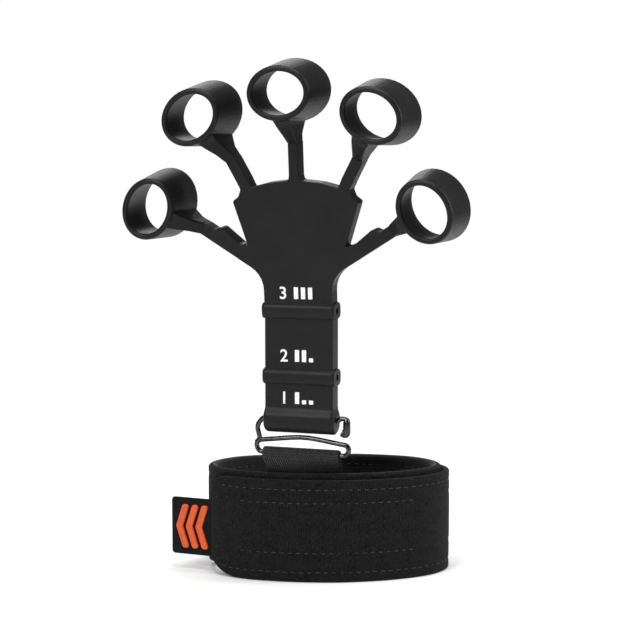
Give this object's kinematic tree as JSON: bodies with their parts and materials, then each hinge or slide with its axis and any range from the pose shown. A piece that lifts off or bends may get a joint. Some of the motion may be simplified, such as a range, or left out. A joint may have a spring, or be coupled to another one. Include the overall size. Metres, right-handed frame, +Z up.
{
  "type": "finger exerciser",
  "caption": "Silicone hand exerciser: finger loops on stretching arms around a palm, with a level-marked neck that a wire buckle joins to a hook-and-loop wrist strap",
  "frame": {"origin": "Centre of the footprint's bounding box, on the floor that the strap's lower edge stands on", "axes": "+Z up along the neck, +X across the palm towards the fifth loop, -Y the front, which carries the level marks and the flap"},
  "size_m": [0.1463, 0.0797, 0.2187],
  "materials": {
    "silicone": "matte black silicone with a soft sheen",
    "white_print": "printed white ink",
    "black_nickel": "polished black nickel wire",
    "webbing": "ribbed woven webbing",
    "loop_fabric": "brushed loop-pile fabric",
    "foam": "closed-cell foam",
    "lining_fabric": "smooth knitted lining",
    "hook_tape": "hook tape",
    "tab_leatherette": "matte leatherette",
    "arrow_orange": "orange raised rubber print"
  },
  "bodies": {
    "strap": {"band_cover": "loop_fabric", "band_core": "foam", "band_lining": "lining_fabric", "flap_anchor": "loop_fabric", "webbing_tail": "webbing"},
    "flap": {"closing_flap": "loop_fabric", "hook_tape": "hook_tape", "tab_root": "tab_leatherette"},
    "tab": {"pull_tab": "tab_leatherette", "tab_arrow_1": "arrow_orange", "tab_arrow_2": "arrow_orange", "tab_arrow_3": "arrow_orange"},
    "webbing": {"webbing_loop": "webbing"},
    "frame": {"latch_frame": "black_nickel"},
    "pin": {"hook_pin": "black_nickel"},
    "hem": {"neck_hem": "silicone"},
    "neck": {"neck_strip": "silicone", "level_mark_1": "white_print", "level_mark_2": "white_print"},
    "palm": {"palm_plate": "silicone", "level_mark_3": "white_print"},
    "arm_1": {"finger_arm_1": "silicone"},
    "loop_1": {"finger_loop_1": "silicone"},
    "arm_2": {"finger_arm_2": "silicone"},
    "loop_2": {"finger_loop_2": "silicone"},
    "arm_3": {"finger_arm_3": "silicone"},
    "loop_3": {"finger_loop_3": "silicone"},
    "arm_4": {"finger_arm_4": "silicone"},
    "loop_4": {"finger_loop_4": "silicone"},
    "arm_5": {"finger_arm_5": "silicone"},
    "loop_5": {"finger_loop_5": "silicone"}
  },
  "joints": [
    {"name": "flap_open", "type": "hinge", "parent": "strap", "child": "flap", "pos_m": [0.05628, 0.02453, 0.0217], "axis": [0, 0, 1], "range_deg": [0, 60]},
    {"name": "tab_flex", "type": "hinge", "parent": "flap", "child": "tab", "pos_m": [-0.03867, -0.01604, 0.0191], "axis": [0, 0, 1], "range_deg": [-25, 60], "stiffness_Nm_per_rad": 0.02},
    {"name": "webbing_sway", "type": "hinge", "parent": "strap", "child": "webbing", "pos_m": [0.0029, -0.01331, 0.046], "axis": [0.9742, 0.2257, 0], "range_deg": [-30, 30], "stiffness_Nm_per_rad": 2},
    {"name": "buckle_turn", "type": "hinge", "parent": "webbing", "child": "frame", "pos_m": [0.00145, -0.0133, 0.0533], "axis": [-1, 0, 0], "range_deg": [-60, 60]},
    {"name": "latch_open", "type": "hinge", "parent": "frame", "child": "pin", "pos_m": [-0.01745, -0.0133, 0.0594], "axis": [0, -1, 0], "range_deg": [-2, 10], "stiffness_Nm_per_rad": 2},
    {"name": "pin_turn", "type": "hinge", "parent": "pin", "child": "hem", "pos_m": [0.00145, -0.0133, 0.0681], "axis": [1, 0, 0], "range_deg": [-75, 75]},
    {"name": "neck_bend", "type": "hinge", "parent": "hem", "child": "neck", "pos_m": [0.00145, -0.0133, 0.0733], "axis": [1, 0, 0], "range_deg": [-40, 40], "stiffness_Nm_per_rad": 0.8},
    {"name": "neck_stretch", "type": "slide", "parent": "neck", "child": "palm", "axis": [0, 0, 1], "range_m": [0, 0.025], "stiffness_N_per_m": 300},
    {"name": "finger_1_bend", "type": "hinge", "parent": "palm", "child": "arm_1", "pos_m": [-0.02295, -0.01619, 0.13944], "axis": [0.477, -0.0873, 0.8746], "range_deg": [-20, 40], "stiffness_Nm_per_rad": 0.2},
    {"name": "finger_1_stretch", "type": "slide", "parent": "arm_1", "child": "loop_1", "axis": [-0.8997, -0.0434, 0.4343], "range_m": [0, 0.012], "stiffness_N_per_m": 200},
    {"name": "finger_2_bend", "type": "hinge", "parent": "palm", "child": "arm_2", "pos_m": [-0.02145, -0.01913, 0.16889], "axis": [0.8808, -0.047, 0.4711], "range_deg": [-20, 40], "stiffness_Nm_per_rad": 0.2},
    {"name": "finger_2_stretch", "type": "slide", "parent": "arm_2", "child": "loop_2", "axis": [-0.5587, -0.0824, 0.8253], "range_m": [0, 0.012], "stiffness_N_per_m": 200},
    {"name": "finger_3_bend", "type": "hinge", "parent": "palm", "child": "arm_3", "pos_m": [0.00145, -0.01934, 0.17098], "axis": [1, 0, 0], "range_deg": [-20, 40], "stiffness_Nm_per_rad": 0.2},
    {"name": "finger_3_stretch", "type": "slide", "parent": "arm_3", "child": "loop_3", "axis": [-0.0693, -0.0991, 0.9927], "range_m": [0, 0.012], "stiffness_N_per_m": 200},
    {"name": "finger_4_bend", "type": "hinge", "parent": "palm", "child": "arm_4", "pos_m": [0.02435, -0.01913, 0.16889], "axis": [0.8808, 0.047, -0.4711], "range_deg": [-20, 40], "stiffness_Nm_per_rad": 0.2},
    {"name": "finger_4_stretch", "type": "slide", "parent": "arm_4", "child": "loop_4", "axis": [0.4584, -0.0883, 0.8843], "range_m": [0, 0.012], "stiffness_N_per_m": 200},
    {"name": "finger_5_bend", "type": "hinge", "parent": "palm", "child": "arm_5", "pos_m": [0.02585, -0.01619, 0.13944], "axis": [0.477, 0.0873, -0.8746], "range_deg": [-20, 40], "stiffness_Nm_per_rad": 0.2},
    {"name": "finger_5_stretch", "type": "slide", "parent": "arm_5", "child": "loop_5", "axis": [0.8689, -0.0492, 0.4926], "range_m": [0, 0.012], "stiffness_N_per_m": 200}
  ]
}
